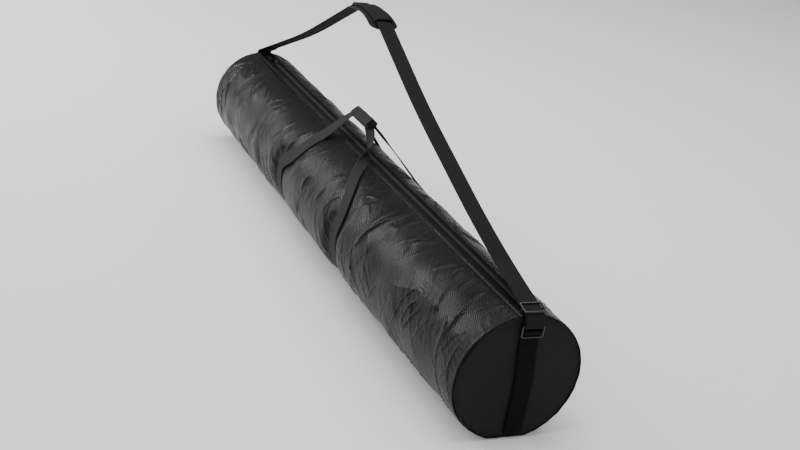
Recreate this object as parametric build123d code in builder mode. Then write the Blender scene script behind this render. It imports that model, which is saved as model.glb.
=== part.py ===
"""A soft cylindrical carrying bag for drawing tubes and rolls, with carry handles and a shoulder strap.

Frame: the origin is under the middle of the bag, +X points to the front end (the one with the strap
adjuster), -Y is the right side, and +Z is up, with the zip along the top. Everything is in millimetres.
"""

from build123d import *
import math
import os

# ---------------------------------------------------------------- driving dimensions
diameter = 200.0            # outside of the sleeve
length = 1240.0             # over the two end discs
webbing_width = 30.0
webbing_t = 1.6
band_t = 1.8                # the two belly bands carry the bag, so it stands on them
flat_rise = 4.8             # how far the underside is pressed in from a full circle
hardware_wire = 2.6         # wire of the rings and the tri-glide
hardware_corner = 3.2       # rounding of a wire frame's outer corners
window_corner = 1.4         # and of the windows in it
fine_gap = 0.1              # between layers that lie on each other
webbing_gap = 0.35          # between a wire and the webbing round it

# the bag's wall, from the outside in
sleeve_t = 1.0
foam_t = 3.9
lining_t = 0.8
cap_depth = 2.5             # the wall's layers stop this far inside each end
disc_t = 1.2
board_t = 3.0
board_setback = 1.4         # from the end disc's face to the board's
piping_proud = 0.8          # how far the piping stands out from the sleeve
piping_depth = 2.4
piping_length = 3.2

# the zip
zip_slot = 26.0             # between the two edges of the sleeve
tape_width = 21.6
tape_t = 0.9
coil_width = 2.8
coil_height = 2.0
coil_length = 1200.0
coil_rounding = 0.9
coil_sink = 1.0             # the coil's base lies this far below the top of the sleeve's circle
tape_edge = 0.4             # from the bag's middle plane to the tape's inner edge
stop_width = 6.4
stop_height = 2.4
stop_length = 3.0
slider_length = 16.0
slider_width = 11.0
slider_setback = 66.0       # from the rear rim to the slider's middle
slider_plate = 1.8          # thickness of the slider over the coil
slider_skirt = 1.6          # how far its sides reach down beside the coil
bridge_rise = 1.2           # from the slider's top to the pull's crossbar
pull_length = 22.0
pull_width = 7.6
pull_t = 1.0
pull_bar_r = 0.7

# the carry handles
front_anchor_x = 135.0      # where the handles' webbing meets the side of the bag
rear_anchor_x = -161.0
anchor_angle = 86.0         # down from the top of the bag, in degrees
anchor_lift = 0.3           # between the sleeve and the handles' webbing
leg_top_y = 4.5             # each leg ends this far to its own side of the grip's middle
grip_start_x = -79.0
grip_end_x = 2.0
grip_height = 152.0         # above the bag's axis
grip_roll = 40.0            # the grip lies rolled over to one side, in degrees
wrap_width = 22.0
wrap_height = 10.0
wrap_t = 1.4
flap_width = 17.0
flap_t = 1.4
strip_width = 12.0          # the hook and loop strips
strip_t = 0.8
strip_setback = 3.0         # from the grip's ends
strip_gap = 0.3             # between the two strips when the flap is closed
top_width = 17.0            # a handle's webbing folded into the grip
top_t = 2.8

# the shoulder strap's line: places along X with heights above the bag's axis
rim_bend = 16.0             # how the strap turns over the rim
rim_height = 108.8          # where the strap's line starts, just inside each rim
rim_setback = 7.0
front_line = ((470.0, 143.0), (180.0, 246.0))
rear_line = ((-363.8, 215.6),)
pad_corner = (-85.0, 363.5)
strap_sag_radius = 2000.0
root_split_front = 450.0    # from here down to the rings the strap bends when it is swung over
root_split_rear = -470.0
split_gap = 0.3
return_gap = 0.2            # between the strap and its return ply
return_bend = 9.0
rear_return_setback = 36.0

# the shoulder pad
pad_bend = 165.0
pad_length = 146.0
pad_width = 46.0
pad_skin_t = 1.2
pad_foam_t = 6.0

# the strap adjuster
glide_setback = 6.5         # from the front rim to the tri-glide's middle bar
glide_height = 21.0
glide_gap = 0.3

# the end rings
ring_standoff = 6.5         # from the end disc to the ring's middle
ring_height = 19.0
ring_top = 89.0             # above the bag's axis
tab_rise = 6.0              # the end tab starts this far above the underside

# ---------------------------------------------------------------- worked-out sizes
radius = diameter / 2
underside_z = band_t
axis_z = underside_z + radius - flat_rise
half = length / 2
foam_depth = sleeve_t + fine_gap
lining_depth = foam_depth + foam_t + fine_gap
wall_inner = lining_depth + lining_t
shell_half = half - cap_depth
liner_slot = 2 * (tape_width + 2 * tape_edge)    # the foam and the lining stop short of the zip's tapes
coil_base_z = axis_z + radius - coil_sink
ring_x = half + ring_standoff
ring_top_z = axis_z + ring_top
bar_reach = webbing_width + hardware_wire + 1.0  # between the middles of a wire frame's two sides
wire_r = hardware_wire / 2
ply = wire_r + webbing_gap + webbing_t / 2       # from a bar's middle to the webbing's middle beside it
strap_face_x = ring_x + ply                      # the strap's outer ply where it hangs over the end disc
rim_x = half - rim_setback

os.makedirs("parts", exist_ok=True)


def save(part, name):
    """Label a finished piece and write it under its own name."""
    part.label = name
    export_step(part, f"parts/{name}.step")


def bag_section(depth):
    """Cross-section of the bag, a circle with a pressed-in underside, inset by depth."""
    with BuildSketch() as section:
        with Locations((0, axis_z)):
            Circle(radius - depth)
        with Locations((0, underside_z + depth)):
            Rectangle(3 * radius, 3 * radius, align=(Align.CENTER, Align.MIN), mode=Mode.INTERSECT)
    return section.sketch


def long_layer(outer_depth, thickness, slot, side=0):
    """A layer of the wall along the whole bag, open at the top by slot. side -1 or +1 keeps one half."""
    with BuildPart() as layer:
        with BuildSketch(Plane.YZ.offset(-shell_half)):
            add(bag_section(outer_depth))
            add(bag_section(outer_depth + thickness), mode=Mode.SUBTRACT)
            with Locations((0, axis_z)):
                Rectangle(slot, 2 * radius, align=(Align.CENTER, Align.MIN), mode=Mode.SUBTRACT)
            if side:
                with Locations((0, axis_z)):
                    Rectangle(
                        2 * radius,
                        4 * radius,
                        align=(Align.MIN if side > 0 else Align.MAX, Align.CENTER),
                        mode=Mode.INTERSECT,
                    )
        extrude(amount=2 * shell_half)
    return layer.part


def end_plate(depth, outer_x, thickness, end):
    """A plate across the bag whose outer face is at outer_x, at the front (+1) or rear (-1) end."""
    with BuildPart() as plate:
        with BuildSketch(Plane.YZ.offset(end * outer_x)):
            add(bag_section(depth))
        extrude(amount=-end * thickness)
    return plate.part


def ribbon(points, radii, thickness=webbing_t, width=webbing_width):
    """Webbing whose line lies in the XZ plane, flat across Y."""
    with BuildPart() as band:
        with BuildSketch(Plane.XZ):
            with BuildLine():
                FilletPolyline(*points, radius=radii)
            trace(line_width=thickness)
        extrude(amount=width / 2, both=True)
    return band.part


def wire_frame(plane, height, bars=2, crank=0.0):
    """Wire buckle in plane: a rounded frame with bars - 1 windows, or a middle bar cranked behind it."""
    window = (height - bars * hardware_wire) / (bars - 1)
    with BuildPart() as frame:
        with BuildSketch(plane):
            RectangleRounded(bar_reach + hardware_wire, height, hardware_corner)
            with GridLocations(1, window + hardware_wire, 1, bars - 1):
                RectangleRounded(bar_reach - hardware_wire, window, window_corner, mode=Mode.SUBTRACT)
        extrude(amount=wire_r, both=True)
        fillet(frame.edges(), 0.42 * hardware_wire)
        if crank:
            bar_start = plane.from_local_coords((-bar_reach / 2, 0, -crank))
            with BuildSketch(Plane(origin=bar_start, z_dir=plane.x_dir)):
                Circle(wire_r)
            extrude(amount=bar_reach)
            for side in (-1, 1):
                post = plane.from_local_coords((side * bar_reach / 2, 0, -crank))
                with BuildSketch(Plane(origin=post, z_dir=plane.z_dir)):
                    Circle(wire_r)
                extrude(amount=crank)
                with Locations(post):
                    Sphere(wire_r)
    return frame.part


# ---------------------------------------------------------------- the bag's wall
for side, name in ((-1, "right"), (1, "left")):
    save(long_layer(0, sleeve_t, zip_slot, side), f"{name}_sleeve_half")

save(long_layer(foam_depth, foam_t, liner_slot), "foam_padding")
save(long_layer(lining_depth, lining_t, liner_slot), "lining")

for end, name in ((1, "front"), (-1, "rear")):
    save(end_plate(piping_depth + fine_gap, half, disc_t, end), f"{name}_end_disc")
    save(end_plate(wall_inner + 3 * fine_gap, half - board_setback, board_t, end), f"{name}_end_board")

    with BuildPart() as piping:
        with BuildSketch(Plane.YZ.offset(end * (shell_half + fine_gap))):
            add(bag_section(-piping_proud))
            add(bag_section(piping_depth), mode=Mode.SUBTRACT)
        extrude(amount=end * piping_length)
    save(piping.part, f"{name}_piping")

# ---------------------------------------------------------------- the zip
for side, name in ((-1, "right"), (1, "left")):
    with BuildPart() as tape:
        with BuildSketch(Plane.YZ.offset(-shell_half)):
            add(bag_section(foam_depth))
            add(bag_section(foam_depth + tape_t), mode=Mode.SUBTRACT)
            with Locations((side * (tape_edge + tape_width / 2), axis_z)):
                Rectangle(tape_width, 2 * radius, align=(Align.CENTER, Align.MIN), mode=Mode.INTERSECT)
        extrude(amount=2 * shell_half)
    save(tape.part, f"{name}_zip_tape")

    with BuildPart() as coil:
        with BuildSketch(Plane.YZ.offset(-coil_length / 2)) as coil_profile:
            with Locations((side * (fine_gap + coil_width / 2), coil_base_z)):
                Rectangle(coil_width, coil_height, align=(Align.CENTER, Align.MIN))
            fillet(coil_profile.vertices().group_by(Axis.Y)[-1], coil_rounding)
        extrude(amount=coil_length)
    save(coil.part, f"{name}_zip_coil")

with BuildPart() as zip_end_stops:
    for end in (-1, 1):
        with BuildSketch(Plane.YZ.offset(end * (coil_length / 2 + 3 * fine_gap))):
            with Locations((0, coil_base_z)):
                Rectangle(stop_width, stop_height, align=(Align.CENTER, Align.MIN))
        extrude(amount=end * stop_length)
save(zip_end_stops.part, "zip_end_stops")

# The slider's body straddles both coils, and its bridge holds the pull's crossbar.
slider_x = -half + slider_setback
coil_top_z = coil_base_z + coil_height
plate_top_z = coil_top_z + slider_plate
pull_axis_z = plate_top_z + bridge_rise
with BuildPart() as zip_slider:
    with BuildSketch(Plane.XY.offset(coil_top_z - slider_skirt)):
        with Locations((slider_x, 0)):
            RectangleRounded(slider_length, slider_width, 3.0)
    extrude(amount=slider_plate + slider_skirt)
    with BuildSketch(Plane.YZ.offset(slider_x)):
        with Locations((0, coil_top_z + 0.4)):
            Rectangle(2 * coil_width + 1.2, 10, align=(Align.CENTER, Align.MAX))
    extrude(amount=slider_length, both=True, mode=Mode.SUBTRACT)
    with BuildSketch(Plane.XZ):
        with Locations((slider_x, plate_top_z - 0.2)):
            RectangleRounded(10.0, 7.2, 1.5)
            RectangleRounded(7.0, 5.2, 1.0, mode=Mode.SUBTRACT)
        with Locations((slider_x, plate_top_z)):
            Rectangle(12, 10, align=(Align.CENTER, Align.MAX), mode=Mode.SUBTRACT)
    extrude(amount=1.4, both=True)
save(zip_slider.part, "zip_slider")

with BuildPart() as zip_pull:
    with BuildSketch(Plane.XY.offset(pull_axis_z - pull_t / 2)):
        with Locations((slider_x, 0)):
            with Locations((pull_length / 2 - pull_bar_r, 0)):
                RectangleRounded(pull_length, pull_width, 2.4)
            with Locations((4.1, 0)):
                Rectangle(9.2, pull_width / 2, mode=Mode.SUBTRACT)
            with Locations((pull_length - 5.0, 0)):
                Circle(1.6, mode=Mode.SUBTRACT)
    extrude(amount=pull_t)
    with BuildSketch(Plane.XZ.offset(-pull_width / 2)):
        with Locations((slider_x, pull_axis_z)):
            Circle(pull_bar_r)
    extrude(amount=pull_width)
save(zip_pull.part, "zip_pull")

# ---------------------------------------------------------------- belly bands
anchor_z = axis_z + (radius + 1) * math.cos(math.radians(anchor_angle))
for anchor_x, name in ((front_anchor_x, "front"), (rear_anchor_x, "rear")):
    with BuildPart() as belly_band:
        with BuildSketch(Plane.YZ.offset(anchor_x - webbing_width / 2)):
            add(bag_section(-band_t))
            add(bag_section(-0.05), mode=Mode.SUBTRACT)
            with Locations((0, anchor_z - 0.4)):
                Rectangle(4 * radius, 4 * radius, align=(Align.CENTER, Align.MAX), mode=Mode.INTERSECT)
        extrude(amount=webbing_width)
    save(belly_band.part, f"{name}_belly_band")

# ---------------------------------------------------------------- carry handles
handle_r = radius + anchor_lift + webbing_t / 2
leg_top_distance = math.hypot(leg_top_y, grip_height)
leg_top_angle = math.degrees(math.atan2(leg_top_y, grip_height))
leave_angle = leg_top_angle + math.degrees(math.acos(handle_r / leg_top_distance))


def on_surface(angle):
    """Point (Y, Z) on the handles' line, angle degrees down from the top on the left side."""
    turn = math.radians(angle)
    return (handle_r * math.sin(turn), axis_z + handle_r * math.cos(turn))


def handle_leg(side, anchor_x, top_x):
    """One leg: it lies on the bag from its anchor, leaves it on a tangent and narrows to the grip."""
    lean = 1 if anchor_x > 0 else -1
    leave_y, leave_z = on_surface(leave_angle)
    leave_x = anchor_x - lean * 20
    anchor_half = webbing_width / 2
    leave_half = webbing_width * 0.57       # the webbing runs at a slant here
    top_reach = 14.0                        # and is folded to this width at the grip
    top_z = axis_z + grip_height
    with BuildPart() as leg:
        with BuildSketch(Plane.YZ):
            with BuildLine():
                CenterArc((0, axis_z), handle_r, 90 - anchor_angle, anchor_angle - leave_angle)
                Line((leave_y, leave_z), (leg_top_y, top_z))
            trace(line_width=webbing_t)
        extrude(amount=2 * radius, both=True)
        with BuildSketch(Plane.XZ):
            with BuildLine():
                Polyline(
                    (anchor_x - lean * anchor_half, anchor_z - 1),
                    (anchor_x + lean * anchor_half, anchor_z - 1),
                    (leave_x + lean * leave_half, leave_z),
                    (top_x + lean * top_reach, top_z),
                    (top_x, top_z),
                    (leave_x - lean * leave_half, leave_z),
                    close=True,
                )
            make_face()
        extrude(amount=2 * radius, both=True, mode=Mode.INTERSECT)
        if side < 0:
            mirror(about=Plane.XZ, mode=Mode.REPLACE)
    return leg.part


for side, side_name in ((-1, "right"), (1, "left")):
    save(handle_leg(side, front_anchor_x, grip_end_x + 3.0), f"{side_name}_handle_front_leg")
    save(handle_leg(side, rear_anchor_x, grip_start_x - 3.0), f"{side_name}_handle_rear_leg")

# The grip is a wrap round both handles, closed by a flap with hook-and-loop tape.
grip_length = grip_end_x - grip_start_x
grip_plane = Plane(
    origin=(grip_start_x, 0, axis_z + grip_height),
    x_dir=(0, math.cos(math.radians(grip_roll)), math.sin(math.radians(grip_roll))),
    z_dir=(1, 0, 0),
)

for side, name in ((-1, "right"), (1, "left")):
    with BuildPart() as handle_top:
        with BuildSketch(grip_plane.offset(-2.0)):
            with Locations((0, -side * (1.5 * fine_gap + top_t / 2))):
                RectangleRounded(top_width, top_t, 1.2)
        extrude(amount=grip_length + 4.0)
    save(handle_top.part, f"{name}_handle_top")

with BuildPart() as grip_wrap:
    with BuildSketch(grip_plane):
        RectangleRounded(wrap_width, wrap_height, 4.0)
        RectangleRounded(wrap_width - 2 * wrap_t, wrap_height - 2 * wrap_t, 3.0, mode=Mode.SUBTRACT)
    extrude(amount=grip_length)
save(grip_wrap.part, "grip_wrap")

# Heights of the strips and the flap above the grip's middle.
hook_v = wrap_height / 2 + fine_gap / 2
loop_v = hook_v + strip_t + strip_gap
flap_v = loop_v + strip_t + fine_gap / 2
for v, thickness, width, name in (
    (hook_v, strip_t, strip_width, "hook_strip"),
    (loop_v, strip_t, strip_width, "loop_strip"),
    (flap_v, flap_t, flap_width, "grip_flap"),
):
    with BuildPart() as strip:
        with BuildSketch(grip_plane.offset(strip_setback)):
            with Locations((0, v)):
                Rectangle(width, thickness, align=(Align.CENTER, Align.MIN))
        extrude(amount=grip_length - 2 * strip_setback)
    save(strip.part, name)

# ---------------------------------------------------------------- end tabs, rings and tri-glide
ring_bar_z = ring_top_z - wire_r
ring_mid_z = ring_top_z - ring_height / 2


def end_tab():
    """Webbing up the front disc, behind the ring's lower bar, over its middle bar and back down."""
    back_x = half + anchor_lift + webbing_t / 2
    front_x = back_x + webbing_t + 1.5 * fine_gap
    return ribbon(
        [
            (front_x, underside_z + tab_rise),
            (front_x, ring_mid_z - 8.5),
            (strap_face_x, ring_mid_z - 1.2),
            (strap_face_x, ring_mid_z + ply),
            (back_x, ring_mid_z + ply),
            (back_x, ring_mid_z - 34.0),
        ],
        [2.0, 1.2, 1.5, 2.2],
    )


def rim_slope(line):
    """How steeply the strap rises inwards from the rim, towards the first place on its line."""
    return (line[0][1] - rim_height) / (rim_x - abs(line[0][0]))


def strap_line():
    """The shoulder strap's line from the front ring, over the pad, to the rear ring, in the XZ plane."""
    loop_bend = 0.96 * ply
    loop_z = ring_bar_z - ply
    points, radii = [], []
    for end, line in ((1, front_line), (-1, rear_line)):
        corner_z = axis_z + rim_height - rim_slope(line) * (strap_face_x - rim_x)
        run = [
            (end * (ring_x - ply), ring_bar_z),
            (end * (ring_x - ply), loop_z),
            (end * strap_face_x, loop_z),
            (end * strap_face_x, corner_z),
        ]
        run += [(x, axis_z + height) for x, height in line]
        bends = [loop_bend, loop_bend, rim_bend] + [strap_sag_radius] * len(line)
        if end > 0:
            points += run + [(pad_corner[0], axis_z + pad_corner[1])]
            radii += bends + [pad_bend]
        else:
            points += run[::-1]
            radii += bends[::-1]
    return points, radii


def strap_piece(low_x, high_x):
    """The stretch of the shoulder strap between two places along X."""
    points, radii = strap_line()
    with BuildPart() as piece:
        add(ribbon(points, radii))
        with Locations(((low_x + high_x) / 2, 0, 0)):
            Box(high_x - low_x, 2 * radius, 12 * radius, mode=Mode.INTERSECT)
    return piece.part


def return_ply(end, line, stop_x):
    """The strap's inner ply, from behind the ring's top bar over the rim to stop_x from the middle."""
    slope = rim_slope(line)
    drop = (webbing_t + return_gap) * math.hypot(1, slope)
    back_x = ring_x - ply
    line_z = axis_z + rim_height - drop

    def height(x):
        return line_z + slope * (rim_x - x)

    points = [
        (back_x, ring_bar_z + fine_gap),
        (back_x, height(back_x)),
        (stop_x, height(stop_x)),
    ]
    return ribbon([(end * x, z) for x, z in points], [return_bend])


save(end_tab(), "front_end_tab")
save(end_tab().mirror(Plane.YZ), "rear_end_tab")

ring_plane = Plane(origin=(ring_x, 0, ring_mid_z), x_dir=(0, 1, 0), z_dir=(1, 0, 0))
save(wire_frame(ring_plane, ring_height, bars=3), "front_ring")
save(wire_frame(ring_plane, ring_height, bars=3).mirror(Plane.YZ), "rear_ring")

save(strap_piece(root_split_rear, root_split_front), "shoulder_strap")
past_ring = strap_face_x + ply
save(strap_piece(root_split_front + split_gap, past_ring), "front_strap_root")
save(strap_piece(-past_ring, root_split_rear - split_gap), "rear_strap_root")
save(return_ply(1, front_line, half - glide_setback + hardware_wire - split_gap), "adjuster_return")
save(return_ply(-1, rear_line, half - rear_return_setback), "rear_strap_return")

# The tri-glide's frame lies over the strap and its middle bar under it.
glide_slope = math.atan(rim_slope(front_line))
glide_z = axis_z + rim_height + math.tan(glide_slope) * (glide_setback - rim_setback)
glide_lift = wire_r + glide_gap + webbing_t / 2
glide_plane = Plane(
    origin=(half - glide_setback, 0, glide_z),
    x_dir=(0, 1, 0),
    z_dir=(math.sin(glide_slope), 0, math.cos(glide_slope)),
)
save(wire_frame(glide_plane.offset(glide_lift), glide_height, crank=2 * glide_lift), "tri_glide")

# ---------------------------------------------------------------- shoulder pad
pad_top = Vector(pad_corner[0], axis_z + pad_corner[1])
to_front = (Vector(front_line[-1][0], axis_z + front_line[-1][1]) - pad_top).normalized()
to_rear = (Vector(rear_line[-1][0], axis_z + rear_line[-1][1]) - pad_top).normalized()
pad_turn = 180 - to_front.get_angle(to_rear)
pad_reach = pad_bend / math.cos(math.radians(pad_turn / 2))
pad_centre = pad_top + (to_front + to_rear).normalized() * pad_reach
pad_span = math.degrees(pad_length / pad_bend)
pad_mid_angle = math.degrees(math.atan2(pad_top.Y - pad_centre.Y, pad_top.X - pad_centre.X))


def pad_profile(low, high):
    """A layer bent over the shoulder, from low to high above the strap's line."""
    with BuildSketch(Plane.XZ) as profile:
        with BuildLine():
            CenterArc(
                (pad_centre.X, pad_centre.Y),
                pad_bend + (low + high) / 2,
                pad_mid_angle - pad_span / 2,
                pad_span,
            )
        trace(line_width=high - low)
    return profile.sketch


cover_high = webbing_t / 2 + 2 * fine_gap
cover_low = -cover_high - pad_foam_t - 2 * fine_gap
inner_width = pad_width - 2 * pad_skin_t
with BuildPart() as pad_cover:
    extrude(pad_profile(cover_low, cover_high + pad_skin_t), amount=pad_width / 2, both=True)
    inside = pad_profile(cover_low, cover_high)
    extrude(inside, amount=inner_width / 2, both=True, mode=Mode.SUBTRACT)
save(pad_cover.part, "pad_cover")

with BuildPart() as pad_foam:
    foam_low = cover_low + fine_gap
    foam_half = inner_width / 2 - 2 * fine_gap
    extrude(pad_profile(foam_low, foam_low + pad_foam_t), amount=foam_half, both=True)
save(pad_foam.part, "pad_foam")

with BuildPart() as pad_base:
    extrude(pad_profile(cover_low - pad_skin_t, cover_low), amount=pad_width / 2, both=True)
save(pad_base.part, "pad_base")
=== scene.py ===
"""Looks of the drawing tube carrying bag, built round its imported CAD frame. Everything is in metres."""

import math

import bmesh
import bpy
import numpy as np
from mathutils import Matrix, Vector


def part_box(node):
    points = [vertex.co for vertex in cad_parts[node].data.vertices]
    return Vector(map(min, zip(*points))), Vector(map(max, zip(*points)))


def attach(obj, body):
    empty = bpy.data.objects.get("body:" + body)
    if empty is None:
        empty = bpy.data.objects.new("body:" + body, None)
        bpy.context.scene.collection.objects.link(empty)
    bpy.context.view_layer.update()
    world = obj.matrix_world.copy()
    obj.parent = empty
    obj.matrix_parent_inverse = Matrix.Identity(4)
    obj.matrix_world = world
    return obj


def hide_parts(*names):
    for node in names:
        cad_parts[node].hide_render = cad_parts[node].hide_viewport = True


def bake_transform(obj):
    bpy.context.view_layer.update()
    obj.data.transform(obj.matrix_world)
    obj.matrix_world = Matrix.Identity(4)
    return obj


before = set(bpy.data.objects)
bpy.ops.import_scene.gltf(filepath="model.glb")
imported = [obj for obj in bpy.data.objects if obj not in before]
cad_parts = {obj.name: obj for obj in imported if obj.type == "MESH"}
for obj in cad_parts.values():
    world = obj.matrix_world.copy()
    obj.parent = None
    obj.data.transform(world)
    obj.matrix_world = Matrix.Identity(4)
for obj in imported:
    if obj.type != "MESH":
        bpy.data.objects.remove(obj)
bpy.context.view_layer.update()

# ---- sizes read from the frame
sleeve_low, sleeve_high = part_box("right_sleeve_half")
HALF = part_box("front_end_disc")[1].x  # the end discs' outer faces
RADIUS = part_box("left_sleeve_half")[1].y  # outside of the sleeve
PIPING_PROUD = 0.0008  # how far the piping stands out of the sleeve
AXIS_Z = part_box("front_piping")[1].z - PIPING_PROUD - RADIUS
FLAT_Z = sleeve_low.z  # pressed-in underside
SLOT = math.sqrt(RADIUS ** 2 - (sleeve_high.z - AXIS_Z) ** 2)  # half the zip's slot
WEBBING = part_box("front_end_tab")[1].y * 2
PLY = 0.0016  # webbing thickness
STRAP_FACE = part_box("front_strap_root")[1].x - PLY / 2
ALONG, ACROSS = (1, 0, 0), (0, 1, 0)
rng = np.random.default_rng(7)


# ---- camera, lights, floor
VIEW_DEGREES = (62.83, 22.10, 10.24)  # azimuth, elevation, roll
CAMERA_PLACE = (1.8527, -0.8605, AXIS_Z + 0.8028)
CAMERA_LENS = 53.98
FLOOR_GLOW = 0.15
WORLD_LIGHT = 0.25
LAMPS = (
    # name, place, aim, power, size
    ("key", (-2.2, -1.7, 1.5), (0, 0, 0.1), 54, 1.2),
    ("top", (0.5, -1.2, 2.8), (0.1, 0, 0.1), 30, 1.8),
    ("front_fill", (2.6, 0.4, 0.9), (0.5, 0, 0.1), 7, 1.2),
    ("overhead", (-0.8, 0.8, 3.4), (-0.8, 0.8, 0), 115, 4.0),
)


def set_inputs(node, values):
    for key, value in values.items():
        node.inputs[key].default_value = value


def add_object(name, data):
    made = bpy.data.objects.new(name, data)
    bpy.context.scene.collection.objects.link(made)
    return made


def make_camera():
    """Looks along the photograph's line of sight, with its tilt of the picture."""
    azimuth, elevation, roll = (math.radians(a) for a in VIEW_DEGREES)
    forward = Vector((
        -math.sin(azimuth) * math.cos(elevation),
        math.cos(azimuth) * math.cos(elevation),
        -math.sin(elevation),
    ))
    level = Vector((math.cos(azimuth), math.sin(azimuth), 0))
    up = level.cross(forward)
    right = level * math.cos(roll) + up * math.sin(roll)
    up = right.cross(forward)
    data = bpy.data.cameras.new("camera")
    data.lens = CAMERA_LENS
    data.clip_start, data.clip_end = 0.05, 50
    camera = add_object("camera", data)
    turned = Matrix((right, up, -forward)).transposed().to_4x4()
    camera.matrix_world = Matrix.Translation(CAMERA_PLACE) @ turned
    bpy.context.scene.camera = camera


def make_stage():
    """Pale floor and soft studio light."""
    bpy.ops.mesh.primitive_plane_add(size=16, location=(0, 0, -0.0005))
    floor = bpy.context.object
    floor.name = "floor"
    material = bpy.data.materials.new("floor")
    material.use_nodes = True
    set_inputs(material.node_tree.nodes["Principled BSDF"], {
        "Base Color": (0.86, 0.86, 0.86, 1), "Roughness": 0.9,
        "Emission Color": (1, 1, 1, 1), "Emission Strength": FLOOR_GLOW,
    })
    floor.data.materials.append(material)
    world = bpy.data.worlds.new("studio")
    world.use_nodes = True
    set_inputs(world.node_tree.nodes["Background"], {"Color": (1, 1, 1, 1), "Strength": WORLD_LIGHT})
    bpy.context.scene.world = world
    for name, place, aim, power, size in LAMPS:
        data = bpy.data.lights.new(name, "AREA")
        data.energy, data.size = power, size
        light = add_object(name, data)
        light.location = place
        light.rotation_mode = "QUATERNION"
        light.rotation_quaternion = (Vector(aim) - Vector(place)).to_track_quat("-Z", "Y")


make_camera()
make_stage()


# ---- materials
RIB_SLANT = (0.75, 0.66)  # direction across the drifting ribs
RIB_NOISE, RIB_BEND = 13.0, 0.065  # scale of the noise that bends them, and how far, in metres


class Nodes:
    """Short calls to lay out a material's nodes."""

    def __init__(self, name):
        self.material = bpy.data.materials.new(name)
        self.material.use_nodes = True
        self.tree = self.material.node_tree
        self.shader = self.tree.nodes["Principled BSDF"]

    def node(self, kind, **values):
        made = self.tree.nodes.new(kind)
        for key, value in values.items():
            if key in made.inputs:
                made.inputs[key].default_value = value
            else:
                setattr(made, key, value)
        return made

    def link(self, source, target):
        self.tree.links.new(source, target)

    def math(self, operation, a, b=None):
        made = self.node("ShaderNodeMath", operation=operation)
        for socket, value in zip(made.inputs, (a, b)):
            if value is None:
                continue
            if isinstance(value, (int, float)):
                socket.default_value = value
            else:
                self.link(value, socket)
        return made.outputs[0]

    def times(self, a, b):
        return self.math("MULTIPLY", a, b)

    def plus(self, a, b):
        return self.math("ADD", a, b)

    def place(self, uv):
        """Where a texture is read: on the piece's flat cloth in metres (uv), or in the frame."""
        coordinates = self.node("ShaderNodeTexCoord")
        return coordinates.outputs["UV" if uv else "Object"]

    def noise(self, place, scale, detail=3.0):
        made = self.node("ShaderNodeTexNoise", Scale=scale, Detail=detail)
        self.link(place, made.inputs["Vector"])
        return made.outputs["Fac"]

    def ribs(self, place, pitch, direction):
        """Parallel ribs of that pitch, 0 to 1 across each."""
        wave = self.node("ShaderNodeTexWave", Scale=math.pi / 10 / pitch, bands_direction=direction)
        self.link(place, wave.inputs["Vector"])
        return wave.outputs["Fac"]

    def drifting_ribs(self, place, pitch):
        """Ribs of about that pitch, bent and crowded by slow noise."""
        parts = self.node("ShaderNodeSeparateXYZ")
        self.link(place, parts.inputs[0])
        along = self.times(parts.outputs[0], RIB_SLANT[0])
        across = self.times(parts.outputs[1], RIB_SLANT[1])
        bend = self.times(self.noise(place, RIB_NOISE, 1.0), RIB_BEND)
        phase = self.plus(self.plus(along, across), bend)
        wave = self.math("SINE", self.times(phase, math.tau / pitch))
        return self.plus(self.times(wave, 0.5), 0.5)

    def color(self, factor, dark, light):
        """Grey from dark to light over the middle half of the factor."""
        ramp = self.node("ShaderNodeValToRGB")
        for element, value, position in zip(ramp.color_ramp.elements, (dark, light), (0.25, 0.75)):
            element.color = (value, value, value, 1)
            element.position = position
        self.link(factor, ramp.inputs["Fac"])
        self.link(ramp.outputs["Color"], self.shader.inputs["Base Color"])

    def roughness(self, factor, low, high):
        spread = self.node("ShaderNodeMapRange", **{"To Min": low, "To Max": high})
        self.link(factor, spread.inputs["Value"])
        self.link(spread.outputs[0], self.shader.inputs["Roughness"])

    def bump(self, height, distance):
        made = self.node("ShaderNodeBump", Strength=1.0, Distance=distance)
        self.link(height, made.inputs["Height"])
        self.link(made.outputs[0], self.shader.inputs["Normal"])


PATCH_SCALE, FUZZ_SCALE = 9.0, 900.0  # worn areas and loose fibres, per metre


def woven(name, dark, light, pitch, rough, depth=0.0001, uv=True, specular=0.25, moire=0.0):
    """A cloth of crossed threads with soft uneven shading and, if moire is set, broad drifting ribs,
    painted into the colour as light and dark bands of sheen and raised as a fine relief.
    """
    n = Nodes(name)
    place = n.place(uv)
    warp = n.ribs(place, pitch, "X")
    weft = n.ribs(place, pitch, "Y")
    threads = n.times(warp, weft)
    patches = n.noise(place, PATCH_SCALE, 4.0)
    fuzz = n.noise(place, FUZZ_SCALE, 2.0)
    mix = n.plus(n.times(threads, 0.45), n.times(patches, 0.6))
    mix = n.plus(mix, n.times(fuzz, 0.12))
    height = n.plus(threads, n.times(fuzz, 0.3))
    if moire:
        # Broad ribs that drift across the weave: painted sheen, light and dark bands of highlight put
        # into the colour, and a fine relief in the bump.
        rib_sheen_and_relief = n.drifting_ribs(place, moire)
        mix = n.plus(n.times(mix, 0.56), n.times(rib_sheen_and_relief, 0.44))
        height = n.plus(height, n.times(rib_sheen_and_relief, 3.2))
    n.color(mix, dark, light)
    n.roughness(n.plus(n.times(patches, 0.5), n.times(mix, 0.5)), *rough)
    n.bump(height, depth)
    n.shader.inputs["Specular IOR Level"].default_value = specular
    return n.material


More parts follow.
